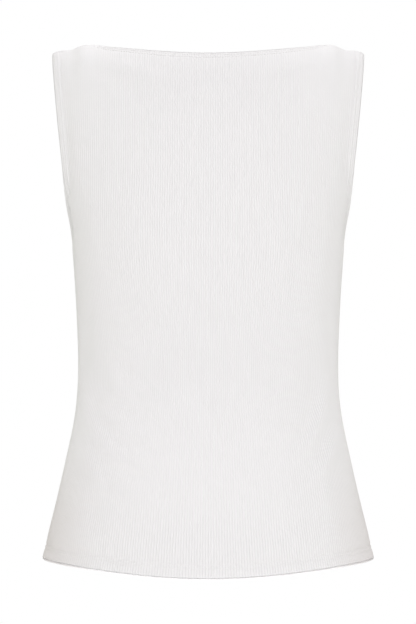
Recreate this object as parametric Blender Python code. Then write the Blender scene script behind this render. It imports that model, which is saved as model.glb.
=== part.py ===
"""A sleeveless rib-knit top with a boat neck, a shaped waist and a flared hem, held open as on a general figure.

Metres, +Z up, the front faces -Y. The origin is where a wearer's shoulders hold the top: midway between the
two shoulder straps, level with the points where the neckline crosses them. The cloth is two cut pieces, a front
and a back, that meet at the side and shoulder seams. Each is a wall with raised ribs outside and a plain inside.
Along a piece, "rib" counts ribs from the centre line. "way" says how far up a rib a point lies: up to the level
where the armhole turns straight up it is the point's height, below 0, and above that it is the share, 0 to 1,
of the curve that goes on over the shoulder.
"""

from collections import namedtuple

import bmesh
import bpy
import numpy as np

# The cloth
CLOTH_THICKNESS = 0.0013
RIB_RELIEF = 0.0005
SEAM_GAP = 0.0003

# Ribs are counted from the centre line of a piece, where rib 0 is
SIDE_RIB = 82
STRAP_RIB = 68
NECK_RIB = 48
INNER_RIB_STEP = 6

# Shoulders, armholes and hem
SHOULDER_HALF_WIDTH = 0.1607
SHOULDER_FULLNESS = 1.85
ARMHOLE_TURN_HEIGHT = -0.120
UNDERARM_HEIGHT = -0.196
HEM_SIDE_HEIGHT = -0.5252
HEM_DIP = 0.0113
HEM_DIP_POWER = 1.6

Level = namedtuple("Level", "height half_width back_depth front_depth")
LEVELS = (
    Level(-0.550, 0.1762, 0.1205, 0.1085),
    Level(-0.500, 0.1640, 0.1165, 0.1045),
    Level(-0.460, 0.1536, 0.1085, 0.1000),
    Level(-0.420, 0.1440, 0.0975, 0.0960),
    Level(-0.390, 0.1377, 0.0905, 0.0930),
    Level(-0.360, 0.1338, 0.0850, 0.0920),
    Level(-0.325, 0.1330, 0.0830, 0.0950),
    Level(-0.280, 0.1343, 0.0885, 0.1040),
    Level(-0.240, 0.1365, 0.0950, 0.1130),
    Level(-0.210, 0.1387, 0.0990, 0.1175),
    Level(-0.190, 0.1406, 0.1005, 0.1180),
    Level(-0.160, 0.1520, 0.1015, 0.1155),
    Level(-0.120, 0.1654, 0.1000, 0.1080),
    Level(-0.080, 0.1735, 0.0940, 0.0980),
)

# The line over the top of the shoulders, from the centre out; inside the neckline it only shapes the cloth below
Ridge = namedtuple("Ridge", "across height")
RIDGE = (
    Ridge(-0.0400, 0.0096),
    Ridge(0.0000, 0.0108),
    Ridge(0.0400, 0.0096),
    Ridge(0.0800, 0.0053),
    Ridge(0.1130, 0.0000),
    Ridge(0.1290, -0.0003),
    Ridge(0.1390, -0.0046),
    Ridge(0.1510, -0.0057),
    Ridge(0.1575, -0.0076),
    Ridge(0.1607, -0.0104),
)

Piece = namedtuple("Piece", "name facing depth roundness squeeze neck_depth")
BACK = Piece("back_panel", 1, "back_depth", 2.25, 1.00, 0.060)
FRONT = Piece("front_panel", -1, "front_depth", 2.15, 0.90, 0.086)

# Ways at which the wall has a row of points, and how near a rib's end one is left out
ROWS = (-0.445, -0.395, -0.345, -0.285, -0.225, -0.170, ARMHOLE_TURN_HEIGHT, 0.22, 0.42, 0.58, 0.72, 0.86)
BARE_HEIGHT = 0.010
BARE_SHARE = 0.06

SECTION_STEPS = 180
TINY_STEP = 1e-4

CLOTH_COLOUR = (0.86, 0.85, 0.85, 1.0)
CLOTH_ROUGHNESS = 0.9


def smooth_value(rows, key, column, at):
    """A column of a table at any value of its key, on a smooth curve through the rows."""
    keys = np.array([getattr(row, key) for row in rows])
    values = np.array([getattr(row, column) for row in rows])
    slopes = np.gradient(values, keys)
    row = np.clip(np.searchsorted(keys, at) - 1, 0, len(rows) - 2)
    gap = keys[row + 1] - keys[row]
    share = (at - keys[row]) / gap
    start = values[row] * (1 + 2 * share) + slopes[row] * gap * share
    end = values[row + 1] * (3 - 2 * share) + slopes[row + 1] * gap * (share - 1)
    return start * (1 - share) ** 2 + end * share**2


def between(target, along, values):
    """Each row's value where its rising measure "along" reaches the target."""
    after = np.clip((along < target[..., None]).sum(-1), 1, along.shape[-1] - 1)
    after = after[..., None]
    low, high = (np.take_along_axis(along, after - i, -1)[..., 0] for i in (1, 0))
    share = np.clip((target - low) / (high - low), 0, 1)
    first, last = (np.take_along_axis(values, after - i, -1)[..., 0] for i in (1, 0))
    return first + (last - first) * share


def half_section(piece, height):
    """A level half section from the centre line to the side, and how far along it each point lies."""
    turn = np.linspace(0, np.pi / 2, SECTION_STEPS + 1)
    power = 2 / piece.roundness
    half_width = smooth_value(LEVELS, "height", "half_width", height)
    depth = smooth_value(LEVELS, "height", piece.depth, height)
    across = half_width[..., None] * np.sin(turn) ** power
    deep = depth[..., None] * np.cos(turn).clip(0, 1) ** power
    steps = np.hypot(np.diff(across), np.diff(deep))
    along = np.concatenate([np.zeros_like(across[..., :1]), np.cumsum(steps, -1)], -1)
    return across, deep, along


def on_section(piece, rib, height):
    """Where a rib crosses a level. Ribs are evenly spaced round the cloth below the underarm, and nearly keep
    that spacing above it, where the armhole cuts the outer ones off."""
    across, deep, along = half_section(piece, height)
    at_underarm = half_section(piece, np.array(UNDERARM_HEIGHT))[2][-1]
    above = (height - UNDERARM_HEIGHT) / (ARMHOLE_TURN_HEIGHT - UNDERARM_HEIGHT)
    above = np.clip(above, 0, 1)
    kept = at_underarm * (1 + (piece.squeeze - 1) * above**2 * (3 - 2 * above))
    whole = np.where(height > UNDERARM_HEIGHT, kept, along[..., -1])
    target = np.abs(rib) / SIDE_RIB * whole
    x = np.sign(rib) * between(target, along, across)
    return np.stack([x, between(target, along, deep), height + 0 * x], -1)


def hem_height(rib):
    """The hem is squared to the flared side seams, so it dips towards the middle of each piece."""
    dip = (1 + np.cos(np.pi * rib / SIDE_RIB)) / 2
    return HEM_SIDE_HEIGHT - HEM_DIP * dip**HEM_DIP_POWER


def over_shoulder(piece, rib):
    """A rib's way from where the armhole turns to the top of the shoulders: both ends and how it leaves them."""
    height = np.full_like(rib, ARMHOLE_TURN_HEIGHT)
    start = on_section(piece, rib, height)
    leaving = (start - on_section(piece, rib, height - TINY_STEP)) / TINY_STEP
    x = SHOULDER_HALF_WIDTH * rib / STRAP_RIB
    ridge = smooth_value(RIDGE, "across", "height", np.abs(x))
    end = np.stack([x, 0 * x, ridge], -1)
    leaving *= (ridge - height)[:, None] * SHOULDER_FULLNESS
    arriving = (end - start) * [0, SHOULDER_FULLNESS, 0]
    return np.stack([start, leaving, end, arriving], -2)


def on_curve(ends, share):
    start, leaving, end, arriving = np.moveaxis(ends, -2, 0)
    t = share[..., None]
    first = start * (1 + 2 * t) + leaving * t
    last = end * (3 - 2 * t) + arriving * (t - 1)
    return first * (1 - t) ** 2 + last * t**2


def cloth(piece, rib, way):
    """The outer face of the cloth between its ribs."""
    below = on_section(piece, rib, np.minimum(way, ARMHOLE_TURN_HEIGHT))
    above = on_curve(over_shoulder(piece, rib), np.clip(way, 0, 1))
    points = np.where((way > 0)[:, None], above, below)
    points[:, 1] = (points[:, 1] + SEAM_GAP / 2) * piece.facing
    return points


def outward(piece, rib, way):
    """The unit normal that points away from the wearer."""
    right = np.minimum(rib + TINY_STEP * SIDE_RIB, SIDE_RIB)
    left = np.maximum(rib - TINY_STEP * SIDE_RIB, -SIDE_RIB)
    around = cloth(piece, right, way) - cloth(piece, left, way)
    upward = cloth(piece, rib, way) - cloth(piece, rib, way - TINY_STEP)
    normal = np.cross(upward, around) * piece.facing
    return normal / np.linalg.norm(normal, axis=-1)[:, None]


def top_way(piece, rib):
    """Where a rib ends: on the armhole's curve outside the straps, at the shoulder seam, or at the neckline."""
    outside = np.clip((SIDE_RIB - np.abs(rib)) / (SIDE_RIB - STRAP_RIB), 0, 1)
    scoop = 1 - np.sqrt(1 - outside**2)
    armhole = UNDERARM_HEIGHT + (ARMHOLE_TURN_HEIGHT - UNDERARM_HEIGHT) * scoop
    shares = np.linspace(0, 1, SECTION_STEPS + 1)
    shares = np.broadcast_to(shares, (len(rib), len(shares)))
    depths = on_curve(over_shoulder(piece, rib)[:, None], shares)[..., 1]
    inside = np.clip(np.abs(rib) / NECK_RIB, 0, 1)
    neckline = between(-piece.neck_depth * np.sqrt(1 - inside**2), -depths, shares)
    shoulder = np.where(inside < 1, neckline, 1)
    return np.where(np.abs(rib) > STRAP_RIB, armhole, shoulder)


def column_ways(bottom, top):
    """The ways of a rib's points: its two ends and every row that isn't too near them."""
    spare = [BARE_SHARE if row > 0 else BARE_HEIGHT for row in ROWS]
    kept = [row for row, gap in zip(ROWS, spare) if bottom + gap < row < top - gap]
    return [bottom, *kept, top]


def add_sheet(mesh, piece, ribs, raised):
    """A sheet of points over the whole piece, as one {way: vertex} for each rib, and the faces between them.
    Beyond the straps the faces stop at the armhole."""
    ends = zip(hem_height(ribs).tolist(), top_way(piece, ribs).tolist())
    ways = [column_ways(bottom, top) for bottom, top in ends]
    rib = np.repeat(ribs, [len(column) for column in ways])
    way = np.concatenate(ways)
    crest = (1 - np.cos(2 * np.pi * rib)) / 2
    offset = RIB_RELIEF * crest if raised else -CLOTH_THICKNESS + 0 * rib
    places = cloth(piece, rib, way) + outward(piece, rib, way) * offset[:, None]
    points = iter([mesh.verts.new(place) for place in places])
    columns = [{one: next(points) for one in column} for column in ways]
    for at, pair in enumerate(zip(columns, columns[1:])):
        if max(abs(ribs[at]), abs(ribs[at + 1])) > STRAP_RIB:
            pair = [{w: v for w, v in c.items() if w <= ARMHOLE_TURN_HEIGHT} for c in pair]
        left, right = (list(column.items()) for column in pair)
        add_strip(mesh, left, right, (piece.facing > 0) == raised)
    return columns


def add_strip(mesh, left, right, clockwise):
    """Faces between two ribs' points, climbing on the side whose next point is lower."""
    i, j = 0, 0
    while i + 1 < len(left) or j + 1 < len(right):
        next_left = left[i + 1][0] if i + 1 < len(left) else np.inf
        next_right = right[j + 1][0] if j + 1 < len(right) else np.inf
        face = [left[i][1], right[j][1]]
        if next_left <= next_right:
            i += 1
            face.insert(1, left[i][1])
        if next_right <= next_left:
            j += 1
            face.insert(-1, right[j][1])
        mesh.faces.new(face if clockwise else face[::-1])


def rim_of(ribs, columns):
    """The vertices round a sheet's edge by rib and way: hem, side, armhole, shoulders, and down again."""
    points = {(rib, way): v for rib, column in zip(ribs, columns) for way, v in column.items()}
    ends = {rib: (rib, list(column)[-1]) for rib, column in zip(ribs, columns)}
    hem = [(rib, list(column)[0]) for rib, column in zip(ribs, columns)]
    side = [key for key in points if key[0] == SIDE_RIB]
    armhole = [ends[rib] for rib in ribs[::-1] if STRAP_RIB < rib < SIDE_RIB]
    strap = [key for key in points if key[0] == STRAP_RIB and key[1] >= ARMHOLE_TURN_HEIGHT]
    top = [ends[rib] for rib in ribs[::-1] if abs(rib) < STRAP_RIB]
    mirrored = [(-rib, way) for rib, way in (side + armhole + strap)[::-1]]
    return [(key, points[key]) for key in hem[:-1] + side + armhole + strap + top + mirrored]


def close_rim(mesh, piece, outer_rim, inner_rim):
    """Joins the ribbed sheet's rim to the plain one's, which has fewer points."""
    waiting = inner_rim[1:]
    inner = inner_rim[0][1]
    for (_, here), (key, following) in zip(outer_rim, outer_rim[1:]):
        corners = [following, here, inner]
        if waiting and waiting[0][0] == key:
            inner = waiting.pop(0)[1]
            corners.append(inner)
        mesh.faces.new(corners if piece.facing < 0 else corners[::-1])


def outer_ribs():
    """The top of each rib and the bottom of each furrow between two."""
    return np.arange(-SIDE_RIB, SIDE_RIB + 0.5, 0.5)


def inner_ribs():
    """Every few ribs across the middle, and every second rib where the straps and the armholes are."""
    middle = np.arange(0, NECK_RIB, INNER_RIB_STEP)
    half = np.concatenate([middle, np.arange(NECK_RIB, SIDE_RIB + 1, 2)])
    return np.unique(np.concatenate([-half, half])).astype(float)


def add_piece(piece):
    mesh = bmesh.new()
    outer = add_sheet(mesh, piece, outer_ribs(), raised=True)
    inner = add_sheet(mesh, piece, inner_ribs(), raised=False)
    close_rim(mesh, piece, rim_of(outer_ribs(), outer), rim_of(inner_ribs(), inner))
    data = bpy.data.meshes.new(piece.name)
    mesh.to_mesh(data)
    mesh.free()
    data.materials.append(rib_knit(piece.name))
    panel = bpy.data.objects.new(piece.name, data)
    bpy.context.scene.collection.objects.link(panel)


def rib_knit(name):
    material = bpy.data.materials.new(name)
    material.use_nodes = True
    shader = material.node_tree.nodes["Principled BSDF"]
    shader.inputs["Base Color"].default_value = CLOTH_COLOUR
    shader.inputs["Roughness"].default_value = CLOTH_ROUGHNESS
    shader.inputs["Metallic"].default_value = 0
    return material


def main():
    for old in list(bpy.data.objects):
        bpy.data.objects.remove(old)
    for piece in (BACK, FRONT):
        add_piece(piece)


main()
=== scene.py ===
"""A white sleeveless rib-knit top with a boat neck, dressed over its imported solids.

Metres, +Z up, the front faces -Y. The two panels are shells of rib knit with rounded ribs outside, turned and
twin-needled edges, seam allowances inside, and soft creases. Along a panel, "rib" counts ribs from the centre
line, with a furrow at each whole number and a rib's top halfway between. "way" says how far up a rib a point
lies: its height, below 0, up to where the armhole turns straight up, and above that the share, 0 to 1, of the
curve that goes on over the shoulder.
"""

import math
from collections import namedtuple

import bpy
import numpy as np
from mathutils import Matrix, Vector
from mathutils.bvhtree import BVHTree
from mathutils.kdtree import KDTree


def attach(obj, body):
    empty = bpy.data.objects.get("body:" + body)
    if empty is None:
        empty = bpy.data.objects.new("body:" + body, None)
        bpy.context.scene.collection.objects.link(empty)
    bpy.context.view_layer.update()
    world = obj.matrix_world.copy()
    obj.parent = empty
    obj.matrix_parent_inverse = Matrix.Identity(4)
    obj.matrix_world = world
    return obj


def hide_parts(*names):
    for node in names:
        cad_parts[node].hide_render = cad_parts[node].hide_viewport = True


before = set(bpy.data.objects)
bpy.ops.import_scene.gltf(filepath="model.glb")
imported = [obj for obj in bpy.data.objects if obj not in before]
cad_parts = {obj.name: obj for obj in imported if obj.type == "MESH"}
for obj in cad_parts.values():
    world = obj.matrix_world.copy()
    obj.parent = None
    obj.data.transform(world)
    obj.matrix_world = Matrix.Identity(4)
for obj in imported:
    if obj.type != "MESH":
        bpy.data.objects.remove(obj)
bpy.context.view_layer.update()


def table(fields, *rows):
    """Rows whose values go by the names of the fields."""
    row_kind = namedtuple("Row", fields)
    return tuple(row_kind(*row) for row in rows)


# The cloth
CLOTH_THICKNESS = 0.0013
RIB_RELIEF = 0.00067
RIB_ROUNDNESS = 0.75
MEAN_CAVITY = 0.3
COURSE = 0.00095
SEAM_GAP = 0.0001

# Ribs are counted from the centre line of a panel
SIDE_RIB = 82
STRAP_RIB = 68
ARMHOLE_RIB = 67
NECK_RIB = 48.5
RIB_STOPS = (0, 0.22, 0.5, 0.78)

# Shoulders, armholes and hem. Each turned edge folds on this radius, and the rows of points stop short by it
FOLD_RADIUS = 0.0013
SHOULDER_HALF_WIDTH = 0.1612
SHOULDER_FULLNESS = 1.85
ARMHOLE_TURN_HEIGHT = -0.120
UNDERARM_HEIGHT = -0.196
HEM_SIDE_HEIGHT = -0.5252
HEM_DIP = 0.0118
HEM_DIP_POWER = 1.15

LEVELS = table(
    "height half_width back_depth front_depth",
    (-0.550, 0.1753, 0.1205, 0.1085),
    (-0.500, 0.1631, 0.1165, 0.1045),
    (-0.460, 0.1532, 0.1085, 0.1000),
    (-0.420, 0.1440, 0.0975, 0.0960),
    (-0.390, 0.1375, 0.0905, 0.0930),
    (-0.360, 0.1334, 0.0850, 0.0920),
    (-0.325, 0.1325, 0.0830, 0.0950),
    (-0.280, 0.1338, 0.0885, 0.1040),
    (-0.240, 0.1359, 0.0950, 0.1130),
    (-0.210, 0.1381, 0.0990, 0.1175),
    (-0.190, 0.1400, 0.1005, 0.1180),
    (-0.160, 0.1500, 0.1015, 0.1155),
    (-0.120, 0.1654, 0.1000, 0.1080),
    (-0.080, 0.1735, 0.0940, 0.0980),
)
FULLNESS = table(
    "height share",
    (-0.560, 0.91),
    (-0.500, 0.91),
    (-0.440, 1.00),
    (-0.390, 1.11),
    (-0.340, 1.02),
    (-0.290, 1.10),
    (-0.220, 1.20),
    (-0.180, 1.18),
    (-0.120, 1.03),
    (-0.080, 1.03),
)
RIB_STRENGTH = table(
    "height middle side",
    (-0.560, 1.10, 1.10),
    (-0.500, 1.10, 1.15),
    (-0.460, 0.70, 1.15),
    (-0.400, 0.66, 1.25),
    (-0.340, 0.84, 1.05),
    (-0.280, 0.80, 0.92),
    (-0.200, 0.87, 0.95),
    (-0.090, 0.82, 0.72),
    (-0.045, 0.72, 0.18),
    (0.020, 0.50, 0.12),
)
RIDGE = table(
    "across height",
    (-0.0400, 0.0096),
    (0.0000, 0.0108),
    (0.0400, 0.0096),
    (0.0800, 0.0053),
    (0.1130, 0.0000),
    (0.1290, -0.0003),
    (0.1390, -0.0046),
    (0.1510, -0.0057),
    (0.1575, -0.0076),
    (0.1607, -0.0104),
)
Panel = namedtuple("Panel", "node name facing depth roundness squeeze neck_depth")
BACK = Panel("back_panel", "back_rib_knit", 1, "back_depth", 2.25, 0.977, 0.061)
FRONT = Panel("front_panel", "front_rib_knit", -1, "front_depth", 2.15, 0.877, 0.087)

# Rows of points, by their distance from an edge. Away from the armholes the rows below it spread out
HEM_ROWS = (0, 0.0012, 0.0035, 0.006, 0.0078, 0.0088, 0.0096, 0.0106, 0.0118, 0.0128, 0.0136, 0.0150, 0.0180)
ARMHOLE_ROWS = (0.0170, 0.0120, 0.0095, 0.0085, 0.0075, 0.0062, 0.005, 0.0041, 0.0030, 0.0012, 0)
NECK_ROWS = (0.0130, 0.0088, 0.0075, 0.0066, 0.0058, 0.0048, 0.0038, 0.0030, 0.0022, 0.0010, 0)
MIDDLE_ROWS = 50
SHOULDER_ROWS = 26
ROW_SPREAD = 5.0
ROW_SPREAD_RIBS = 18

# Turned edges: how far from the edge the two needles run, and how deep the cloth is turned in
Turning = namedtuple("Turning", "first second depth")
HEM = Turning(0.0106, 0.0146, 0.0160)
ARMHOLE = Turning(0.0055, 0.0095, 0.0108)
NECK = Turning(0.0040, 0.0075, 0.0088)
NEEDLE_PRESS = 0.00030
NEEDLE_WIDTH = 0.0009
# The needle rows' painted shade: how far their colour goes towards the dark, standing in for the shade in
# their grooves
NEEDLE_SHADE = 0.18
SEAM_DIP = 0.0007
SEAM_DIP_WIDTH = 0.0011
SEAM_ALLOWANCE = 0.0060
ALLOWANCE_THICKNESS = 0.0014
# Where a turned-in layer ends, the inner face steps down over this width
LAYER_STEP = 0.0008
# The ribs flatten on the fold of a turned edge: the share left there, and how far in they are whole again
EDGE_RIB_SHARE = 0.2
EDGE_RIB_FADE = 0.0024
# Stitches press the ribs down by this share. From this far out a rib's side strength begins to count
PRESSED_RIB_LOSS = 0.5
SIDE_START = 0.06
SIDE_SPREAD = 0.07

SECTION_STEPS = 180
TINY_STEP = 1e-4
NORMAL_RIBS = 0.6
NORMAL_WAY = 0.002


def smooth_value(rows, key, column, at):
    """A column of a table at any value of its key, on a smooth curve through the rows."""
    keys = np.array([getattr(row, key) for row in rows])
    values = np.array([getattr(row, column) for row in rows])
    slopes = np.gradient(values, keys)
    row = np.clip(np.searchsorted(keys, at) - 1, 0, len(rows) - 2)
    gap = keys[row + 1] - keys[row]
    share = (at - keys[row]) / gap
    start = values[row] * (1 + 2 * share) + slopes[row] * gap * share
    end = values[row + 1] * (3 - 2 * share) + slopes[row + 1] * gap * (share - 1)
    return start * (1 - share) ** 2 + end * share**2


def between(target, along, values):
    """Each row's value where its rising measure "along" reaches the target."""
    after = np.clip((along < target[..., None]).sum(-1), 1, along.shape[-1] - 1)
    after = after[..., None]
    low, high = (np.take_along_axis(along, after - i, -1)[..., 0] for i in (1, 0))
    share = np.clip((target - low) / (high - low), 0, 1)
    first, last = (np.take_along_axis(values, after - i, -1)[..., 0] for i in (1, 0))
    return first + (last - first) * share


def eased(share):
    share = np.clip(share, 0, 1)
    return share * share * (3 - 2 * share)


def half_section(panel, height):
    """A level half section from the centre line to the side, and how far along it each point lies."""
    turn = np.linspace(0, np.pi / 2, SECTION_STEPS + 1)
    power = 2 / (panel.roundness * smooth_value(FULLNESS, "height", "share", height))[..., None]
    half_width = smooth_value(LEVELS, "height", "half_width", height)
    depth = smooth_value(LEVELS, "height", panel.depth, height)
    across = half_width[..., None] * np.sin(turn) ** power
    deep = depth[..., None] * np.cos(turn).clip(0, 1) ** power
    steps = np.hypot(np.diff(across), np.diff(deep))
    along = np.concatenate([np.zeros_like(across[..., :1]), np.cumsum(steps, -1)], -1)
    return across, deep, along


def on_section(panel, rib, height):
    """Where a rib crosses a level. Ribs are evenly spaced round the cloth below the underarm, and nearly keep
    that spacing above it, where the armhole cuts the outer ones off."""
    across, deep, along = half_section(panel, height)
    at_underarm = half_section(panel, np.array(UNDERARM_HEIGHT))[2][-1]
    above = eased((height - UNDERARM_HEIGHT) / (ARMHOLE_TURN_HEIGHT - UNDERARM_HEIGHT))
    kept = at_underarm * (1 + (panel.squeeze - 1) * above)
    whole = np.where(height > UNDERARM_HEIGHT, kept, along[..., -1])
    target = np.abs(rib) / SIDE_RIB * whole
    x = np.sign(rib) * between(target, along, across)
    return np.stack([x, between(target, along, deep), height + 0 * x], -1)


def over_shoulder(panel, rib):
    """A rib's way from where the armhole turns to the shoulders' top: both ends and how it leaves them."""
    height = np.full_like(rib, ARMHOLE_TURN_HEIGHT)
    start = on_section(panel, rib, height)
    leaving = (start - on_section(panel, rib, height - TINY_STEP)) / TINY_STEP
    x = SHOULDER_HALF_WIDTH * rib / STRAP_RIB
    ridge = smooth_value(RIDGE, "across", "height", np.abs(x))
    end = np.stack([x, 0 * x, ridge], -1)
    leaving *= (ridge - height)[:, None] * SHOULDER_FULLNESS
    arriving = (end - start) * [0, SHOULDER_FULLNESS, 0]
    return np.stack([start, leaving, end, arriving], -2)


def on_curve(ends, share):
    start, leaving, end, arriving = np.moveaxis(ends, -2, 0)
    t = share[..., None]
    first = start * (1 + 2 * t) + leaving * t
    last = end * (3 - 2 * t) + arriving * (t - 1)
    return first * (1 - t) ** 2 + last * t**2


def cloth(panel, ribs, ways):
    """The outer face of the cloth between its ribs, for a row of ways on each rib."""
    low = np.minimum(ways, ARMHOLE_TURN_HEIGHT)
    if ways.max() > 0:
        points = on_curve(over_shoulder(panel, ribs)[:, None], np.clip(ways, 0, 1))
    else:
        points = on_section(panel, ribs[:, None] + 0 * low, low)
    points[..., 1] = (points[..., 1] + SEAM_GAP / 2) * panel.facing
    return points


def faced(panel, ribs, ways):
    """Points of the cloth and the unit normals that point away from the wearer."""
    right = np.minimum(ribs + NORMAL_RIBS, SIDE_RIB)
    across = cloth(panel, right, ways) - cloth(panel, ribs - NORMAL_RIBS, ways)
    upward = cloth(panel, ribs, ways + NORMAL_WAY) - cloth(panel, ribs, ways - NORMAL_WAY)
    normal = np.cross(upward, across) * panel.facing
    return cloth(panel, ribs, ways), normal / np.linalg.norm(normal, axis=-1)[..., None]


def hem_height(rib):
    """The hem is squared to the flared side seams, so it dips towards the middle of each panel."""
    dip = (1 + np.cos(np.pi * rib / SIDE_RIB)) / 2
    return HEM_SIDE_HEIGHT - HEM_DIP * dip**HEM_DIP_POWER + FOLD_RADIUS


def armhole_height(rib):
    """Where the outer ribs end. The others pass the level where the armhole turns straight up."""
    outside = np.clip((SIDE_RIB - np.abs(rib)) / (SIDE_RIB - ARMHOLE_RIB), 0, 1)
    scoop = 1 - np.sqrt(1 - outside**2)
    bottom = UNDERARM_HEIGHT - FOLD_RADIUS
    return bottom + (ARMHOLE_TURN_HEIGHT - bottom) * scoop


def rows_below(ribs):
    """Ways of the rows from the hem up to the armhole or to the level where it turns."""
    spread = 1 + (ROW_SPREAD - 1) * eased((ARMHOLE_RIB - ribs) / ROW_SPREAD_RIBS)
    low = hem_height(ribs)[:, None] + np.array(HEM_ROWS)
    high = armhole_height(ribs)[:, None] - np.array(ARMHOLE_ROWS) * spread[:, None]
    share = np.linspace(0, 1, MIDDLE_ROWS + 2)[1:-1]
    middle = low[:, -1:] + (high[:, :1] - low[:, -1:]) * share
    return np.concatenate([low, middle, high], 1)


def rows_above(panel, ribs):
    """Ways of the rows from where the armhole turns up to the neckline or the shoulder seam."""
    shares = np.linspace(0, 1, SECTION_STEPS + 1)
    points = on_curve(over_shoulder(panel, ribs)[:, None], np.broadcast_to(shares, (len(ribs), len(shares))))
    inside = np.clip(np.abs(ribs) / NECK_RIB, 0, 1)
    deep = -points[..., 1]
    neckline = between(-panel.neck_depth * np.sqrt(1 - inside**2), deep, shares + 0 * deep)
    top = np.where(inside < 1, neckline, 1)
    steps = np.linalg.norm(np.diff(points, axis=1), axis=-1)
    rows = []
    for step, end in zip(steps, top):
        along = np.concatenate([[0], np.cumsum(step)])
        whole = np.interp(end, shares, along)
        near = whole - np.array(NECK_ROWS)
        middle = np.linspace(0, near[0], SHOULDER_ROWS + 2)[1:-1]
        rows.append(np.interp(np.concatenate([middle, near]), along, shares))
    return np.array(rows)


def mirrored(values):
    """The columns from the centre line out, with the other half before them."""
    return np.concatenate([values[:0:-1] * (-1, 1, 1), values])


Grid = namedtuple("Grid", "ribs below above below_normal above_normal")


def cloth_grid(panel):
    """The whole panel's rows: those below the level where the armhole turns, and those above it."""
    whole = np.arange(0, SIDE_RIB)[:, None] + np.array(RIB_STOPS)
    ribs = np.append(whole.ravel(), SIDE_RIB).astype(float)
    inner = ribs[ribs <= ARMHOLE_RIB]
    low, low_normal = faced(panel, ribs, rows_below(ribs))
    high, high_normal = faced(panel, inner, rows_above(panel, inner))
    full = np.concatenate([-ribs[:0:-1], ribs])
    return Grid(full, *(mirrored(values) for values in (low, high, low_normal, high_normal)))


def passing(ribs):
    """The columns that go on above the level where the armhole turns."""
    first = int(np.argmax(ribs >= -ARMHOLE_RIB))
    return slice(first, len(ribs) - first)


def climbed(points):
    """How far up its rib each point lies from the rib's first."""
    steps = np.linalg.norm(np.diff(points, axis=1), axis=-1)
    return np.concatenate([np.zeros((len(points), 1)), np.cumsum(steps, 1)], 1)


def quads_of(ids, outwards):
    """The faces between columns of points."""
    quads = np.stack([ids[:-1, :-1], ids[1:, :-1], ids[1:, 1:], ids[:-1, 1:]], -1).reshape(-1, 4)
    return (quads[:, ::-1] if outwards else quads).tolist()


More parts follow.
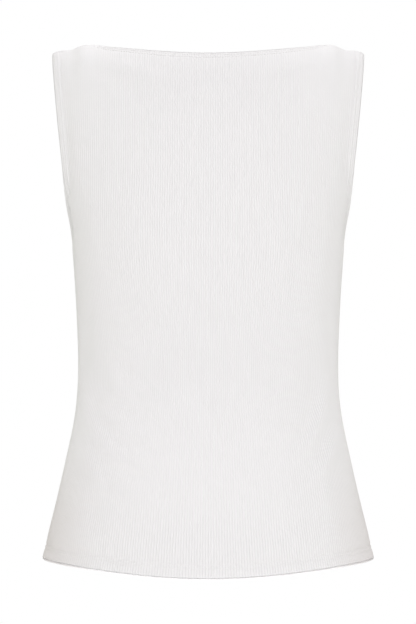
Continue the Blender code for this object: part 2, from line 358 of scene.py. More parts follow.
# Creases lie along a bowed line, given as X and Z, with the wearer's left at +X. A rise over 0 is a soft
# ridge, below 0 a trough
CREASE_FIELDS = "start middle end width rise"
BACK_CREASES = table(
    CREASE_FIELDS,
    # From the shoulders in towards the middle of the neck
    ((0.115, -0.018), (0.079, -0.022), (0.045, -0.040), 0.006, 0.0007),
    ((-0.114, -0.018), (-0.080, -0.021), (-0.044, -0.037), 0.006, 0.0007),
    ((0.104, -0.030), (0.080, -0.040), (0.056, -0.056), 0.0090, -0.0005),
    ((-0.101, -0.032), (-0.078, -0.038), (-0.056, -0.050), 0.0090, -0.0003),
    # Across, below the neck
    ((0.059, -0.050), (0.026, -0.056), (-0.009, -0.056), 0.0055, 0.0005),
    ((0.077, -0.072), (0.044, -0.080), (0.010, -0.080), 0.007, 0.0008),
    ((-0.017, -0.064), (-0.030, -0.070), (-0.045, -0.073), 0.0055, 0.0004),
    ((-0.062, -0.080), (-0.076, -0.084), (-0.092, -0.082), 0.006, -0.0003),
    # Down the shoulder blades and beside the armholes
    ((0.087, -0.067), (0.084, -0.113), (0.086, -0.158), 0.0045, -0.0004),
    ((-0.087, -0.093), (-0.088, -0.118), (-0.086, -0.141), 0.0045, -0.0004),
    ((0.143, -0.044), (0.140, -0.110), (0.136, -0.172), 0.005, -0.0008),
    ((-0.141, -0.050), (-0.139, -0.112), (-0.136, -0.174), 0.005, -0.0009),
    ((0.121, -0.153), (0.112, -0.202), (0.108, -0.267), 0.0090, 0.0006),
    ((-0.120, -0.185), (-0.113, -0.227), (-0.107, -0.267), 0.008, 0.0008),
    # Above and at the waist
    ((0.042, -0.234), (-0.004, -0.241), (-0.052, -0.235), 0.0200, 0.0009),
    ((0.059, -0.279), (0.008, -0.282), (-0.046, -0.277), 0.008, -0.0008),
    ((0.121, -0.280), (0.121, -0.311), (0.125, -0.347), 0.006, -0.0015),
    ((-0.122, -0.258), (-0.124, -0.306), (-0.128, -0.353), 0.006, -0.0012),
    ((0.100, -0.318), (0.095, -0.336), (0.086, -0.350), 0.008, 0.0016),
    ((0.090, -0.290), (0.083, -0.300), (0.073, -0.312), 0.008, 0.0007),
    ((-0.067, -0.315), (-0.074, -0.325), (-0.081, -0.334), 0.008, -0.0011),
    ((-0.074, -0.338), (-0.083, -0.342), (-0.092, -0.340), 0.006, 0.0008),
    # Over the wearer's left hip
    ((0.124, -0.336), (0.126, -0.396), (0.083, -0.416), 0.0065, 0.0022),
    ((0.108, -0.364), (0.095, -0.374), (0.074, -0.390), 0.008, 0.0016),
    ((0.092, -0.422), (0.079, -0.431), (0.063, -0.434), 0.0055, -0.0008),
    ((0.100, -0.434), (0.082, -0.444), (0.058, -0.450), 0.006, 0.0010),
    ((0.127, -0.402), (0.119, -0.424), (0.105, -0.443), 0.0075, 0.0018),
    ((0.115, -0.460), (0.114, -0.473), (0.115, -0.487), 0.0075, -0.0014),
    # Over the wearer's right hip
    ((-0.118, -0.340), (-0.117, -0.376), (-0.093, -0.411), 0.007, 0.0028),
    ((-0.127, -0.393), (-0.123, -0.422), (-0.103, -0.441), 0.0065, 0.0027),
    ((-0.085, -0.380), (-0.076, -0.393), (-0.063, -0.406), 0.008, 0.0018),
    ((-0.042, -0.412), (-0.060, -0.409), (-0.078, -0.402), 0.007, -0.0011),
    ((-0.118, -0.440), (-0.117, -0.455), (-0.114, -0.470), 0.008, 0.0016),
    ((-0.107, -0.350), (-0.108, -0.376), (-0.090, -0.400), 0.0055, -0.0016),
    # The small of the back and the seat
    ((0.010, -0.311), (-0.032, -0.322), (-0.062, -0.341), 0.0150, 0.0010),
    ((0.048, -0.361), (0.027, -0.370), (0.004, -0.373), 0.0140, 0.0012),
    ((-0.016, -0.368), (-0.040, -0.382), (-0.066, -0.392), 0.0140, 0.0012),
    ((0.003, -0.357), (-0.005, -0.379), (-0.008, -0.405), 0.008, -0.0012),
    ((0.099, -0.472), (0.001, -0.478), (-0.096, -0.472), 0.0160, -0.0010),
)
FRONT_CREASES = table(
    CREASE_FIELDS,
    # From the shoulders in towards the neckline
    ((0.118, -0.020), (0.100, -0.042), (0.074, -0.080), 0.007, 0.0008),
    ((-0.117, -0.022), (-0.103, -0.047), (-0.076, -0.076), 0.007, 0.0007),
    ((0.106, -0.055), (0.092, -0.078), (0.066, -0.101), 0.006, -0.0006),
    ((-0.108, -0.050), (-0.094, -0.074), (-0.071, -0.104), 0.006, -0.0007),
    ((0.036, -0.108), (0.003, -0.114), (-0.030, -0.109), 0.005, 0.0007),
    # From the armholes towards the chest
    ((0.131, -0.128), (0.110, -0.150), (0.086, -0.163), 0.006, 0.0010),
    ((-0.132, -0.122), (-0.109, -0.146), (-0.082, -0.160), 0.006, 0.0011),
    ((0.126, -0.166), (0.104, -0.180), (0.084, -0.183), 0.005, -0.0007),
    ((-0.125, -0.170), (-0.106, -0.182), (-0.087, -0.181), 0.005, -0.0006),
    ((0.137, -0.062), (0.136, -0.110), (0.131, -0.160), 0.0040, -0.0007),
    ((-0.137, -0.058), (-0.135, -0.115), (-0.130, -0.166), 0.0040, -0.0008),
    # Below the chest and at the waist
    ((0.070, -0.235), (0.036, -0.244), (0.012, -0.239), 0.0100, -0.0009),
    ((-0.064, -0.239), (-0.035, -0.246), (-0.014, -0.240), 0.0100, -0.0009),
    ((0.056, -0.286), (0.004, -0.291), (-0.050, -0.284), 0.007, -0.0009),
    ((0.118, -0.276), (0.119, -0.312), (0.122, -0.346), 0.006, -0.0012),
    ((-0.118, -0.270), (-0.121, -0.305), (-0.123, -0.349), 0.006, -0.0013),
    ((0.093, -0.300), (0.080, -0.309), (0.060, -0.313), 0.006, 0.0008),
    ((-0.097, -0.293), (-0.079, -0.305), (-0.063, -0.307), 0.006, 0.0007),
    # Over the hips
    ((0.118, -0.345), (0.128, -0.396), (0.090, -0.420), 0.005, 0.0011),
    ((-0.119, -0.350), (-0.126, -0.402), (-0.086, -0.424), 0.005, 0.0012),
    ((0.104, -0.362), (0.086, -0.376), (0.062, -0.384), 0.006, 0.0008),
    ((-0.101, -0.369), (-0.082, -0.379), (-0.066, -0.391), 0.006, 0.0009),
    ((0.099, -0.432), (0.078, -0.441), (0.052, -0.440), 0.005, 0.0008),
    ((-0.106, -0.438), (-0.084, -0.450), (-0.060, -0.448), 0.005, 0.0007),
    # The belly
    ((0.046, -0.352), (0.014, -0.366), (-0.022, -0.362), 0.0150, 0.0010),
    ((-0.050, -0.400), (-0.020, -0.409), (0.012, -0.404), 0.0140, -0.0008),
    ((0.090, -0.474), (0.003, -0.481), (-0.088, -0.475), 0.0160, -0.0009),
)

# A turned edge is stiff: it stands a little proud, and the single cloth beside it falls back. Seams hold it
ROLLS = table(
    "edge inset width rise",
    ("hem", 0.0160, 0.0075, -0.0012),
    ("armhole", 0.0110, 0.0045, -0.0006),
)
SEAM_HOLD = 0.014
# A level crease shows by the light on its upper flank, so it lies below its line, and is wider and higher
UPRIGHT_RISE = 1.3
LEVEL_RISE = 1.8
LEVEL_WIDTH = 1.4
LEVEL_DROP = 0.7
# A crease's line is cut at these stops. It keeps a share of its rise at its ends and reaches some widths out
CREASE_STOPS = 13
CREASE_TAPER = 0.7
CREASE_END_SHARE = 0.25
CREASE_REACH = 4


def crease_rise(creases, points):
    """How far the creases lift the cloth at each point."""
    rise = np.zeros(points.shape[:-1])
    place = points[..., (0, 2)]
    for crease in creases:
        start, middle, end = (np.array(p) for p in (crease.start, crease.middle, crease.end))
        run = np.abs(end - start)
        level = run[0] / run.sum()
        width = crease.width * (1 + (LEVEL_WIDTH - 1) * level)
        height = crease.rise * (UPRIGHT_RISE + (LEVEL_RISE - UPRIGHT_RISE) * level)
        shares = np.linspace(0, 1, CREASE_STOPS)[:, None]
        line = start * (1 - shares) ** 2 + middle * 2 * shares * (1 - shares) + end * shares**2
        line -= (0, LEVEL_DROP * width * level)
        near = np.all(np.abs(place - line.mean(0)) < np.ptp(line, 0) / 2 + CREASE_REACH * width, -1)
        here = place[near]
        away = np.full(len(here), np.inf)
        along = np.zeros(len(here))
        for i, (a, b) in enumerate(zip(line, line[1:])):
            step = b - a
            share = np.clip((here - a) @ step / (step @ step), 0, 1)
            gap = np.linalg.norm(here - a - share[:, None] * step, axis=-1)
            along = np.where(gap < away, (i + share) / (len(line) - 1), along)
            away = np.minimum(gap, away)
        taper = np.sin(np.pi * np.clip(along, 0, 1)) ** CREASE_TAPER
        kept = CREASE_END_SHARE + (1 - CREASE_END_SHARE) * taper
        rise[near] += height * np.exp(-((away / width) ** 2)) * kept
    return rise


def nearest(lines, points):
    """Distance from each point to the nearest point of a dense line."""
    tree = KDTree(len(lines))
    for i, place in enumerate(lines):
        tree.insert(place, i)
    tree.balance()
    flat = points.reshape(-1, 3)
    return np.array([tree.find(place)[2] for place in flat]).reshape(points.shape[:-1])


def dense(line, step=0.0004):
    """A line with a point at every step of its length."""
    along = np.concatenate([[0], np.cumsum(np.linalg.norm(np.diff(line, axis=0), axis=-1))])
    at = np.linspace(0, along[-1], int(along[-1] / step) + 2)
    return np.stack([np.interp(at, along, line[:, i]) for i in range(3)], -1)


Rim = namedtuple("Rim", "kind column row high")


def rim_of(grid):
    """The panel's edge in order, as column and row: hem, side, armhole, strap, shoulders, neck, and down
    again. A corner belongs to its turned edge rather than to the seam."""
    ribs = grid.ribs
    last = len(ribs) - 1
    low_top = grid.below.shape[1] - 1
    high_top = grid.above.shape[1] - 1
    first_high = passing(ribs).start
    last_high = last - first_high
    rim = [Rim("hem", c, 0, False) for c in range(last + 1)]
    side = [Rim("side", last, r, False) for r in range(1, low_top)]
    arm = [Rim("armhole", c, low_top, False) for c in range(last, last_high - 1, -1)]
    strap = [Rim("armhole", last_high, r, True) for r in range(high_top + 1)]
    top = []
    for c in range(last_high - 1, first_high, -1):
        top.append(Rim("neck" if abs(ribs[c]) <= NECK_RIB else "shoulder", c, high_top, True))
    left = [r._replace(column=last - r.column) for r in (side + arm + strap)[::-1]]
    return rim + side + arm + strap + top + left


def at_rim(grid, rim, low, high):
    first_high = passing(grid.ribs).start
    return np.array([high[r.column - first_high, r.row] if r.high else low[r.column, r.row] for r in rim])


def stretches(rim, kind):
    """The runs of the rim that belong to one kind of edge, as lists of places in it."""
    runs, run = [], []
    for i, r in enumerate(rim):
        if r.kind == kind:
            run.append(i)
        elif run:
            runs.append(run)
            run = []
    return runs + [run] if run else runs


def band(distance, turning):
    """1 on a turned edge and 0 beyond it."""
    return eased((turning.depth + LAYER_STEP / 2 - distance) / LAYER_STEP)


def needle_rows(distance, turning):
    """1 under a needle's row and 0 away from it."""
    first, second = ((distance - row) / NEEDLE_WIDTH for row in (turning.first, turning.second))
    return np.exp(-(first**2)) + np.exp(-(second**2))


def rib_crest(rib):
    return np.abs(np.sin(np.pi * rib)) ** RIB_ROUNDNESS


def rib_strength(points):
    """How much of their full height the ribs keep. They flatten where the cloth is stretched."""
    whole = smooth_value(RIB_STRENGTH, "height", "middle", points[..., 2])
    side = smooth_value(RIB_STRENGTH, "height", "side", points[..., 2])
    return whole + (side - whole) * eased((np.abs(points[..., 0]) - SIDE_START) / SIDE_SPREAD)


class Shell:
    """A panel's points and faces as they are added."""

    def __init__(self):
        self.points, self.knit, self.faces, self.inside = [], [], [], []

    def add(self, place, knit):
        self.points.append(place)
        self.knit.append(knit)
        return len(self.points) - 1

    def add_grid(self, places, knits):
        start = len(self.points)
        self.points.extend(places.reshape(-1, 3))
        self.knit.extend(knits.reshape(-1, 3))
        return start + np.arange(places.shape[0] * places.shape[1]).reshape(places.shape[:2])

    def face(self, corners, inside=False):
        self.faces.append(corners)
        self.inside.append(inside)

    def quads(self, ids, outwards, inside=False):
        for quad in quads_of(ids, outwards):
            self.face(quad, inside)


def sew_panel(panel, creases, materials):
    """The panel's shell, and the smooth places along its edges where its threads run."""
    grid = cloth_grid(panel)
    rim = rim_of(grid)
    span = passing(grid.ribs)
    high_ribs = grid.ribs[span]
    edge = at_rim(grid, rim, grid.below, grid.above)
    edge_normal = at_rim(grid, rim, grid.below_normal, grid.above_normal)

    def edge_distance(kind):
        line = np.concatenate([dense(edge[run]) for run in stretches(rim, kind)])
        return nearest(line, grid.below) + FOLD_RADIUS, nearest(line, grid.above) + FOLD_RADIUS

    hem, armhole, neck = (edge_distance(kind) for kind in ("hem", "armhole", "neck"))
    side = [np.linalg.norm(grid.below - grid.below[c][None], axis=-1) for c in (0, -1)]
    side = np.minimum(*side), np.full(grid.above.shape[:2], np.inf)
    seam_line = grid.above[:, -1]
    strap = np.abs(high_ribs) >= NECK_RIB
    shoulder = np.full(grid.above.shape[:2], np.inf)
    shoulder[strap] = np.linalg.norm(grid.above[strap] - seam_line[strap][:, None], axis=-1)

    blocks = []
    for high, (ribs, points, normal) in enumerate((
        (grid.ribs, grid.below, grid.below_normal), (high_ribs, grid.above, grid.above_normal),
    )):
        rib = ribs[:, None] + 0 * points[..., 0]
        pressed = np.zeros(rib.shape)
        turned = np.zeros(rib.shape)
        for distance, turning in ((hem, HEM), (armhole, ARMHOLE), (neck, NECK)):
            pressed += needle_rows(distance[high], turning)
            turned = np.maximum(turned, band(distance[high], turning))
        pressed = np.clip(pressed, 0, 1)
        seam = np.minimum(side[high], shoulder if high else side[high])
        dip = np.exp(-((seam / SEAM_DIP_WIDTH) ** 2))
        from_edge = np.minimum(np.minimum(hem[high], armhole[high]), neck[high]) - FOLD_RADIUS
        ribbed = EDGE_RIB_SHARE + (1 - EDGE_RIB_SHARE) * eased(from_edge / EDGE_RIB_FADE)
        crest = 1 - MEAN_CAVITY + (rib_crest(rib) - 1 + MEAN_CAVITY) * ribbed
        rise = crease_rise(creases, points)
        for roll in ROLLS:
            distance = {"hem": hem, "armhole": armhole}[roll.edge][high]
            rise += roll.rise * np.exp(-(((distance - roll.inset) / roll.width) ** 2))
        lifted = points + normal * (rise * eased(seam / SEAM_HOLD))[..., None]
        strength = rib_strength(points)
        outer = RIB_RELIEF * strength * crest * (1 - PRESSED_RIB_LOSS * pressed)
        outer = outer - NEEDLE_PRESS * pressed - SEAM_DIP * dip
        allowance = eased((SEAM_ALLOWANCE - seam) / LAYER_STEP) * (panel.facing > 0)
        depth = CLOTH_THICKNESS * (1 + turned) + ALLOWANCE_THICKNESS * allowance
        # Painted shade: the rib furrows and the needle rows get a darker colour, standing in for the shade
        # that falls in them
        painted_shade = np.maximum(MEAN_CAVITY + (1 - crest - MEAN_CAVITY) * strength, pressed * NEEDLE_SHADE)
        blocks.append((rib, lifted, normal, outer, depth, painted_shade))

    climb = climbed(grid.below)
    whole = np.concatenate([grid.below[span, -1:], grid.above], 1)
    climb_high = climb[span, -1:] + climbed(whole)[:, 1:]
    courses = climb / COURSE, climb_high / COURSE

    shell = Shell()
    outward = panel.facing > 0
    outer_ids, inner_ids = [], []
    whole_rib = (np.abs(grid.ribs - np.round(grid.ribs)) < 1e-6) | (np.abs(grid.ribs) == ARMHOLE_RIB)
    columns = np.flatnonzero(whole_rib), np.flatnonzero(whole_rib[span])
    for part, (rib, lifted, normal, outer, depth, painted_shade) in enumerate(blocks):
        knit = np.stack([rib, courses[part], painted_shade], -1)
        outer_ids.append(shell.add_grid(lifted + normal * outer[..., None], knit))
    for part, (rib, lifted, normal, outer, depth, painted_shade) in enumerate(blocks):
        keep = columns[part]
        knit = np.stack([rib, courses[part], 0 * painted_shade], -1)[keep]
        inner_ids.append(shell.add_grid(lifted[keep] - normal[keep] * depth[keep][..., None], knit))
    shell.quads(outer_ids[0], outward)
    shell.quads(np.concatenate([outer_ids[0][span, -1:], outer_ids[1]], 1), outward)
    shell.quads(inner_ids[0], not outward, inside=True)
    kept = grid.ribs[columns[0]]
    inner_span = np.abs(kept) <= ARMHOLE_RIB
    shell.quads(np.concatenate([inner_ids[0][inner_span, -1:], inner_ids[1]], 1), not outward, inside=True)

    outs = edge_out(panel, rim, edge, edge_normal)
    fold_rim(shell, panel, grid, rim, blocks, courses, outer_ids, inner_ids, columns, outs)
    piece = shell_object(panel.name, shell, materials)
    smooth = BVHTree.FromPolygons(*smooth_sheet(grid, blocks, columns, outward))
    return piece, rim, edge, outs, smooth


def smooth_sheet(grid, blocks, columns, outward):
    """The cloth's level between the ribs, creases included, as points and faces."""
    low = blocks[0][1][columns[0]]
    high = blocks[1][1][columns[1]]
    kept = np.abs(grid.ribs[columns[0]]) <= ARMHOLE_RIB
    low_ids = np.arange(low.shape[0] * low.shape[1]).reshape(low.shape[:2])
    high_ids = low_ids.size + np.arange(high.shape[0] * high.shape[1]).reshape(high.shape[:2])
    faces = []
    for ids in (low_ids, np.concatenate([low_ids[kept, -1:], high_ids], 1)):
        faces += quads_of(ids, outward)
    points = np.concatenate([low.reshape(-1, 3), high.reshape(-1, 3)])
    return points.tolist(), faces


def edge_out(panel, rim, edge, normal):
    """At each place on the rim, the direction in the cloth's plane that points off the cloth. A turned edge's
    own run gives it, so that its fold goes straight on to the seam."""
    outs = np.zeros_like(edge)
    for kind in ("hem", "armhole", "neck"):
        for run in stretches(rim, kind):
            line = edge[run]
            along = np.gradient(line, axis=0)
            out = np.cross(normal[run], along) * panel.facing
            outs[run] = out / np.linalg.norm(out, axis=-1)[:, None]
    return outs


FOLD_TURNS = (np.pi / 4, np.pi / 2, 3 * np.pi / 4)


def fold_rim(shell, panel, grid, rim, blocks, courses, outer_ids, inner_ids, columns, outs):
    """Turns the cloth in round its edge and joins the outer face to the inner one."""
    first_high = passing(grid.ribs).start

    def at(values_low, values_high, r):
        return values_high[r.column - first_high, r.row] if r.high else values_low[r.column, r.row]

    rings = [[at(*outer_ids, r) for r in rim]]
    for turn in FOLD_TURNS:
        ring = []
        for r, out in zip(rim, outs):
            rib, lifted, normal, outer, depth, _ = (at(a, b, r) for a, b in zip(*blocks))
            level = outer - (outer + depth) * (1 - math.cos(turn)) / 2
            reach = (FOLD_RADIUS + outer) * math.sin(turn)
            knit = (rib, at(*courses, r), 0)
            ring.append(shell.add(lifted + normal * level + out * reach, knit))
        rings.append(ring)
    flip = panel.facing > 0
    for near, far in zip(rings, rings[1:]):
        for i in range(len(rim)):
            j = (i + 1) % len(rim)
            face = [near[i], near[j], far[j], far[i]]
            shell.face(face if not flip else face[::-1])
    inner_place = {}
    for part, ids in enumerate(inner_ids):
        for k, c in enumerate(columns[part]):
            for row in range(ids.shape[1]):
                inner_place[(c + (first_high if part else 0), row, bool(part))] = ids[k, row]
    last = rings[-1]
    keys = [(r.column, r.row, r.high) for r in rim]
    start = next(i for i, key in enumerate(keys) if key in inner_place)
    inner = inner_place[keys[start]]
    for n in range(len(rim)):
        i, j = (start + n) % len(rim), (start + n + 1) % len(rim)
        face = [last[i], last[j]]
        following = inner_place.get(keys[j])
        if following is not None:
            face.append(following)
        face.append(inner)
        if following is not None:
            inner = following
        shell.face(face if not flip else face[::-1], inside=True)


def placed(name, data):
    """A new object in the scene."""
    made = bpy.data.objects.new(name, data)
    bpy.context.scene.collection.objects.link(made)
    return made


def mesh_object(name, points, edges, faces, attribute, vectors):
    """A mesh in the scene, with a vector at each of its points."""
    mesh = bpy.data.meshes.new(name)
    mesh.from_pydata(points, edges, faces)
    layer = mesh.attributes.new(attribute, "FLOAT_VECTOR", "POINT")
    layer.data.foreach_set("vector", np.array(vectors, np.float32).ravel())
    return placed(name, mesh)


def shell_object(name, shell, materials):
    faces = [[int(i) for i in face] for face in shell.faces]
    piece = mesh_object(name, np.array(shell.points).tolist(), [], faces, "knit", shell.knit)
    for material in materials:
        piece.data.materials.append(material)
    piece.data.polygons.foreach_set("material_index", np.array(shell.inside, np.int32))
    piece.data.shade_smooth()
    return piece


# --- Threads


NORMAL_ROUNDS = 3


def thread_line(smooth, edge, outs, inset, level=0.0):
    """A line at an even distance in from a turned edge, and the cloth's evened normals along it."""
    places, normals = [], []
    for place, out in zip(edge, outs):
        spot, normal, _, _ = smooth.find_nearest(Vector(place - out * (inset - FOLD_RADIUS)))
        places.append(np.array(spot))
        normals.append(np.array(normal))
    normals = np.array(normals)
    for _ in range(NORMAL_ROUNDS):
        padded = np.pad(normals, ((1, 1), (0, 0)), mode="edge")
        normals = padded[:-2] + padded[1:-1] * 2 + padded[2:]
    normals /= np.linalg.norm(normals, axis=-1)[:, None]
    return np.array(places) + normals * level, normals


def lines_object(name, lines):
    """Lines as loose edges with the cloth's normal at each point."""
    points, edges, normals = [], [], []
    for line, normal in lines:
        start = len(points)
        points.extend(line.tolist())
        normals.extend(normal)
        edges.extend((i, i + 1) for i in range(start, start + len(line) - 1))
    return mesh_object(name, points, edges, [], "cloth_normal", normals)


def add_node(tree, kind, settings, inputs):
    """A new node with its settings, and a link or a value for each of its inputs."""
    node = tree.nodes.new(kind)
    for key, value in (settings or {}).items():
        setattr(node, key, value)
    for key, value in (inputs or {}).items():
        if isinstance(value, bpy.types.NodeSocket):
            tree.links.new(value, node.inputs[key])
        else:
            node.inputs[key].default_value = value
    return node


class ThreadTree:
    """A Geometry Nodes tree with named inputs, built one node at a time."""

    def __init__(self, name, sizes):
        self.tree = bpy.data.node_groups.new(name, "GeometryNodeTree")
        sockets = self.tree.interface
        sockets.new_socket("Lines", in_out="INPUT", socket_type="NodeSocketGeometry")
        for size in sizes:
            sockets.new_socket(size, in_out="INPUT", socket_type="NodeSocketFloat")
        sockets.new_socket("Thread", in_out="INPUT", socket_type="NodeSocketMaterial")
        sockets.new_socket("Threads", in_out="OUTPUT", socket_type="NodeSocketGeometry")
        self.given = self.tree.nodes.new("NodeGroupInput")
        self.made = self.tree.nodes.new("NodeGroupOutput")

    def size(self, name):
        return self.given.outputs[name]

    def node(self, kind, settings=None, inputs=None, output=0):
        return add_node(self.tree, kind, settings, inputs).outputs[output]

    def math(self, operation, *values):
        return self.node("ShaderNodeMath", {"operation": operation}, dict(enumerate(values)))

    def vector(self, operation, *values):
        return self.node("ShaderNodeVectorMath", {"operation": operation}, dict(enumerate(values)))

    def normal(self):
        kind = {"data_type": "FLOAT_VECTOR"}
        return self.node("GeometryNodeInputNamedAttribute", kind, {"Name": "cloth_normal"})

    def finish(self, geometry):
        realized = self.node("GeometryNodeRealizeInstances", inputs={"Geometry": geometry})
        smooth = self.node("GeometryNodeSetShadeSmooth", inputs={"Geometry": realized})
        inputs = {"Geometry": smooth, "Material": self.given.outputs["Thread"]}
        covered = self.node("GeometryNodeSetMaterial", inputs=inputs)
        self.tree.links.new(covered, self.made.inputs["Threads"])
        return self.tree


STITCH_SHORTEST, STITCH_LONGEST = 0.85, 1.05
STITCH_SEED = 4


def needle_tree():
    """Rows of separate stitches, each a rounded thread that dips into the cloth at both ends."""
    build = ThreadTree("needle_rows", ("Stitch pitch", "Stitch length", "Thread thickness"))
    curve = build.node("GeometryNodeMeshToCurve", inputs={"Mesh": build.size("Lines")})
    inputs = {"Curve": curve, "Length": build.size("Stitch pitch")}
    points = build.node("GeometryNodeResampleCurve", {"mode": "LENGTH"}, inputs)
    stitch = build.node("GeometryNodeMeshUVSphere", inputs={"Segments": 6, "Rings": 4, "Radius": 0.5})
    facing = {"Primary Axis": build.normal(), "Secondary Axis": build.node("GeometryNodeInputTangent")}
    turned = build.node("FunctionNodeAxesToRotation", {"primary_axis": "Z", "secondary_axis": "X"}, facing)
    spread = {2: STITCH_SHORTEST, 3: STITCH_LONGEST, "Seed": STITCH_SEED}
    uneven = build.node("FunctionNodeRandomValue", {"data_type": "FLOAT"}, spread, 1)
    length = build.math("MULTIPLY", build.size("Stitch length"), uneven)
    thick = build.size("Thread thickness")
    shape = build.node("ShaderNodeCombineXYZ", inputs={"X": length, "Y": thick, "Z": thick})
    inputs = {"Points": points, "Instance": stitch, "Rotation": turned, "Scale": shape}
    return build.finish(build.node("GeometryNodeInstanceOnPoints", inputs=inputs))


def zigzag_tree():
    """A thread that runs to and fro across a line."""
    build = ThreadTree("zigzag_threads", ("Stitch pitch", "Half width", "Thread thickness"))
    curve = build.node("GeometryNodeMeshToCurve", inputs={"Mesh": build.size("Lines")})
    half = build.math("MULTIPLY", build.size("Stitch pitch"), 0.5)
    points = build.node("GeometryNodeResampleCurve", {"mode": "LENGTH"}, {"Curve": curve, "Length": half})
    across = build.vector("CROSS_PRODUCT", build.normal(), build.node("GeometryNodeInputTangent"))
    odd = build.math("FLOORED_MODULO", build.node("GeometryNodeInputIndex"), 2.0)
    side = build.math("MULTIPLY_ADD", odd, 2.0, -1.0)
    reach = build.math("MULTIPLY", side, build.size("Half width"))
    scaled = build.node("ShaderNodeVectorMath", {"operation": "SCALE"}, {0: across, "Scale": reach})
    moved = build.node("GeometryNodeSetPosition", inputs={"Geometry": points, "Offset": scaled})
    radius = build.math("MULTIPLY", build.size("Thread thickness"), 0.5)
    ring = build.node("GeometryNodeCurvePrimitiveCircle", inputs={"Resolution": 5, "Radius": radius})
    inputs = {"Curve": moved, "Profile Curve": ring, "Fill Caps": True}
    return build.finish(build.node("GeometryNodeCurveToMesh", inputs=inputs))


def run_tree(piece, tree, sizes, material):
    """Applies a tree to a piece and leaves it a plain mesh."""
    modifier = piece.modifiers.new(tree.name, "NODES")
    modifier.node_group = tree
    for item in tree.interface.items_tree:
        if item.in_out == "INPUT" and item.name in sizes:
            modifier[item.identifier] = sizes[item.name]
        if item.in_out == "INPUT" and item.name == "Thread":
            modifier[item.identifier] = material
    evaluated = piece.evaluated_get(bpy.context.evaluated_depsgraph_get())
    mesh = bpy.data.meshes.new_from_object(evaluated)
    piece.modifiers.clear()
    piece.data = mesh
    mesh.name = piece.name
    return piece


# --- Finishes


class Socket:
    """A number in a finish. Operators on it add the Math nodes they need."""

    def __init__(self, finish, link):
        self.finish, self.link = finish, link

    def math(self, operation, *values):
        return self.finish.node("ShaderNodeMath", {"operation": operation}, dict(enumerate(values)))

    def __add__(self, other):
        return self.math("ADD", self, other)

    __radd__ = __add__

    def __mul__(self, other):
        return self.math("MULTIPLY", self, other)

    __rmul__ = __mul__

    def __sub__(self, other):
        return self.math("SUBTRACT", self, other)

    def __rsub__(self, other):
        return self.math("SUBTRACT", other, self)

    def __pow__(self, other):
        return self.math("POWER", self, other)

    def __abs__(self):
        return self.math("ABSOLUTE", self)

    def part(self):
        return self.math("FRACT", self)

    def held(self):
        """Kept within 0 and 1."""
        return self.finish.node("ShaderNodeClamp", inputs={0: self})

    def wave(self):
        """From -1 to 1 and back for each whole number."""
        return self.math("SINE", self * math.tau)


class Finish:
    """A material with a Principled shader, built one node at a time."""

    def __init__(self, name, colour, roughness, sheen=0.0):
        self.material = bpy.data.materials.new(name)
        self.material.use_nodes = True
        self.tree = self.material.node_tree
        self.shader = self.tree.nodes["Principled BSDF"]
        self.shader.inputs["Base Color"].default_value = (*colour, 1)
        self.shader.inputs["Roughness"].default_value = roughness
        self.shader.inputs["Metallic"].default_value = 0
        self.shader.inputs["Specular IOR Level"].default_value = 0.25
        self.shader.inputs["Sheen Weight"].default_value = sheen
        self.shader.inputs["Sheen Roughness"].default_value = 0.6
        self.material.diffuse_color = (*colour, 1)

    def node(self, kind, settings=None, inputs=None, output=0):
        given = {}
        for key, value in (inputs or {}).items():
            given[key] = value.link if isinstance(value, Socket) else value
        return Socket(self, add_node(self.tree, kind, settings, given).outputs[output])

    def place(self):
        return self.node("ShaderNodeTexCoord", output="Object")

    def noise(self, place, scale, detail):
        return self.node("ShaderNodeTexNoise", inputs={"Vector": place, "Scale": scale, "Detail": detail})

    def mix(self, factor, first, second):
        """Between two colours."""
        return self.node("ShaderNodeMix", {"data_type": "RGBA"}, {0: factor, 6: first, 7: second}, 2)

    def feed(self, name, value):
        self.tree.links.new(value.link, self.shader.inputs[name])

    def bump(self, height, distance):
        self.feed("Normal", self.node("ShaderNodeBump", inputs={"Distance": distance, "Height": height}))


KNIT_LIGHT = (0.900, 0.890, 0.889, 1)
# The colour of the painted shade in the rib furrows and along the needle rows, and the darker end of the
# cloth's own random tone
KNIT_DARK = (0.800, 0.785, 0.783, 1)
KNIT_CORNER_SHADE = (0.795, 0.765, 0.755, 1)
KNIT_BUMP = 0.00012
FUZZ_SCALE = 900.0
CLOUD_SCALE = 45.0
INSIDE_RIB_HEIGHT = 2.4
# The cloth's lower side corners get a painted shade, a warm darkening of the colour, from this far out, a
# little more to one side, and from this height down
CORNER_OUT = 0.115
CORNER_LEAN = 0.03
CORNER_OUT_SHARPNESS = 20
CORNER_TOP = -0.40
CORNER_TOP_SHARPNESS = 12


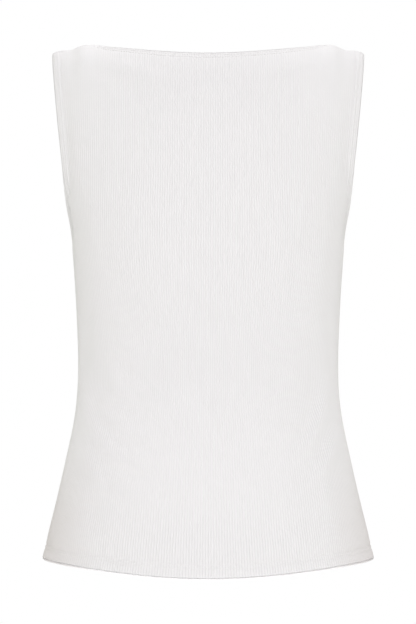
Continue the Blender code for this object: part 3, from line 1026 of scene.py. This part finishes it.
def rib_knit(name, inside):
    """Cotton rib: each rib is a column of V-shaped loops. The inside has no raised ribs, so it gets some."""
    finish = Finish(name, KNIT_LIGHT[:3], 0.92, sheen=0.05)
    knit = finish.node("ShaderNodeAttribute", {"attribute_name": "knit"}, output="Vector")
    parts = {axis: finish.node("ShaderNodeSeparateXYZ", inputs={0: knit}, output=axis) for axis in "XYZ"}
    rib, course, painted_shade = parts["X"], parts["Y"], parts["Z"]
    across = abs(rib.part() - 0.5) * 2
    leg = (course - across * 0.8).wave()
    loops = leg * (1 - across * across) * 0.5 - (1 - across) ** 6
    place = finish.place()
    fuzz = finish.noise(place, FUZZ_SCALE, 2.0)
    height = loops * 0.5 + fuzz * 0.6
    if inside:
        height = height + INSIDE_RIB_HEIGHT * (1 - across)
    finish.bump(height, KNIT_BUMP)
    streak_place = finish.node("ShaderNodeCombineXYZ", inputs={"X": rib * 0.9, "Y": course * 0.02, "Z": 0.0})
    streak = finish.noise(streak_place, 1.0, 1.0)
    cloudy = finish.noise(place, CLOUD_SCALE, 2.0)
    # Painted shade in the rib furrows and along the needle rows, together with the cloth's own random tone in
    # streaks and clouds
    shade = painted_shade * 0.9 + (streak - 0.5) * 0.1 + (cloudy - 0.5) * 0.04
    knit_colour = finish.mix(shade, KNIT_LIGHT, KNIT_DARK)
    across_place, height_place = (
        finish.node("ShaderNodeSeparateXYZ", inputs={0: place}, output=axis) for axis in ("X", "Z")
    )
    # Painted shade: the lower side corners are darkened and warmed in the colour, by place on the cloth
    out = abs(across_place) + across_place * CORNER_LEAN - CORNER_OUT
    to_side = (out * CORNER_OUT_SHARPNESS).held()
    to_hem = ((CORNER_TOP - height_place) * CORNER_TOP_SHARPNESS).held()
    finish.feed("Base Color", finish.mix(to_side * to_hem, knit_colour, KNIT_CORNER_SHADE))
    return finish.material


def thread_finish():
    """Spun polyester thread, a little glossier than the cotton, with a fine twist."""
    finish = Finish("sewing_thread", (0.89, 0.88, 0.875), 0.6)
    twist = finish.noise(finish.place(), 2500.0, 1.0)
    finish.bump(twist, 0.0001)
    finish.feed("Base Color", finish.mix(twist, (0.90, 0.89, 0.885, 1), (0.80, 0.785, 0.775, 1)))
    return finish.material


def floor_finish():
    finish = Finish("pale_floor", (0.90, 0.90, 0.90), 0.8)
    grain = finish.noise(finish.place(), 6.0, 3.0)
    finish.feed("Base Color", finish.mix(grain, (0.91, 0.91, 0.91, 1), (0.89, 0.89, 0.89, 1)))
    return finish.material


# --- The top

# Each panel's flat cloth, without what is turned in: its widest and longest measures, and its area
Cut = namedtuple("Cut", "panel creases flat area")
BACK_CUT = Cut(BACK, BACK_CREASES, (0.46, 0.57), 0.200)
FRONT_CUT = Cut(FRONT, FRONT_CREASES, (0.44, 0.575), 0.194)
NEEDLE_SIZES = {"Stitch pitch": 0.0033, "Stitch length": 0.0028, "Thread thickness": 0.00042}
COVER_PITCH = 0.0033
COVER_THREAD = 0.0003
COVER_LEVEL = -2 * CLOTH_THICKNESS - COVER_THREAD / 3


def dress_panel(panel, creases, outside, inside, thread, needle, zigzag):
    piece, rim, edge, outs, smooth = sew_panel(panel, creases, (outside, inside))
    needles, covers = [], []
    for kind, turning in (("hem", HEM), ("armhole", ARMHOLE), ("neck", NECK)):
        for run in stretches(rim, kind):
            for inset in (turning.first, turning.second):
                needles.append(thread_line(smooth, edge[run], outs[run], inset))
            middle = (turning.first + turning.second) / 2
            covers.append(thread_line(smooth, edge[run], outs[run], middle, COVER_LEVEL))
    side = panel.node.split("_")[0]
    stitches = run_tree(lines_object(side + "_needle_rows", needles), needle, NEEDLE_SIZES, thread)
    width = (ARMHOLE.second - ARMHOLE.first) / 2
    sizes = {"Stitch pitch": COVER_PITCH, "Half width": width, "Thread thickness": COVER_THREAD}
    cover = run_tree(lines_object(side + "_cover_threads", covers), zigzag, sizes, thread)
    return piece, stitches, cover


def declare(panel, piece, extras):
    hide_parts(panel.node)
    for one in (piece, *extras):
        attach(one, "root")


FLOOR_RADIUS = 2.4
FLOOR_HEIGHT = -1.0


def lay_floor():
    place = (0, 0, FLOOR_HEIGHT)
    bpy.ops.mesh.primitive_circle_add(vertices=96, radius=FLOOR_RADIUS, fill_type="NGON", location=place)
    floor = bpy.context.object
    floor.name = "floor"
    floor.data.materials.append(floor_finish())


AIM = (0, 0, -0.27)
LIGHTS = table(
    "name place size power colour",
    ("front", (0, 3.0, -0.3), (1.6, 1.6), 25.8, (0.99, 0.985, 1.01)),
    ("high", (0, 2.2, 1.2), (1.2, 1.2), 16.0, (0.99, 0.985, 1.01)),
    ("shoulder_strip", (0, 0, 0.12), (0.4, 0.06), 0.10, (1, 1, 1)),
    ("hem_strip", (0, 0.09, -0.64), (0.40, 0.10), 0.18, (1, 1, 1)),
)
SKIES = table(
    "way colour",
    ((1, 0, 0), (0.81, 0.83, 0.71)),
    ((-1, 0, 0), (0.95, 0.96, 0.87)),
    ((0, -1, 0), (0.90, 0.90, 0.90)),
    ((0, 0, 1), (0.75, 0.73, 0.79)),
)
BACKGROUND = (1.0, 1.0, 1.0)


def light_studio():
    """Two soft lamps, two faint strips, and white walls and ceiling that each send back their own share."""
    for one in LIGHTS:
        lamp = bpy.data.lights.new(one.name, "AREA")
        lamp.shape = "ELLIPSE"
        lamp.size, lamp.size_y = one.size
        lamp.energy = one.power
        lamp.color = one.colour
        holder = placed(one.name, lamp)
        holder.location = one.place
        aim = Vector(AIM) - Vector(one.place)
        holder.rotation_euler = aim.to_track_quat("-Z", "Y").to_euler()
        holder.visible_camera = False
    world = bpy.data.worlds.new("studio")
    bpy.context.scene.world = world
    world.use_nodes = True
    tree = world.node_tree

    def node(kind, settings, inputs, output=0):
        return add_node(tree, kind, settings, inputs).outputs[output]

    ray = node("ShaderNodeTexCoord", {}, {}, "Generated")
    light = None
    for sky in SKIES:
        facing = node("ShaderNodeVectorMath", {"operation": "DOT_PRODUCT"}, {0: ray, 1: sky.way}, "Value")
        share = node("ShaderNodeMath", {"operation": "POWER", "use_clamp": True}, {0: facing, 1: 2.0})
        positive = node("ShaderNodeMath", {"operation": "GREATER_THAN"}, {0: facing, 1: 0.0})
        share = node("ShaderNodeMath", {"operation": "MULTIPLY"}, {0: share, 1: positive})
        glow = node("ShaderNodeVectorMath", {"operation": "SCALE"}, {0: sky.colour, "Scale": share})
        if light is not None:
            glow = node("ShaderNodeVectorMath", {"operation": "ADD"}, {0: light, 1: glow})
        light = glow
    camera_ray = node("ShaderNodeLightPath", {}, {}, "Is Camera Ray")
    lit = node("ShaderNodeBackground", {}, {"Color": light})
    seen = node("ShaderNodeBackground", {}, {"Color": (*BACKGROUND, 1)})
    mix = node("ShaderNodeMixShader", {}, {"Fac": camera_ray, 1: lit, 2: seen})
    tree.links.new(mix, tree.nodes["World Output"].inputs["Surface"])
    bpy.context.scene.view_settings.view_transform = "Standard"


CAMERA_PLACE = (0.0002, 3.0, -0.2732)
CAMERA_LENS = 168.9
CAMERA_SENSOR = 36


def place_camera():
    camera = placed("camera", bpy.data.cameras.new("camera"))
    camera.data.lens = CAMERA_LENS
    camera.data.sensor_width = CAMERA_SENSOR
    camera.location = CAMERA_PLACE
    camera.rotation_euler = (math.pi / 2, 0, math.pi)
    bpy.context.scene.camera = camera


def main():
    outside, inside, thread = rib_knit("rib_knit", False), rib_knit("rib_knit_inside", True), thread_finish()
    needle, zigzag = needle_tree(), zigzag_tree()
    for cut in (BACK_CUT, FRONT_CUT):
        piece, *extras = dress_panel(cut.panel, cut.creases, outside, inside, thread, needle, zigzag)
        declare(cut.panel, piece, extras)
    lay_floor()
    light_studio()
    place_camera()


main()
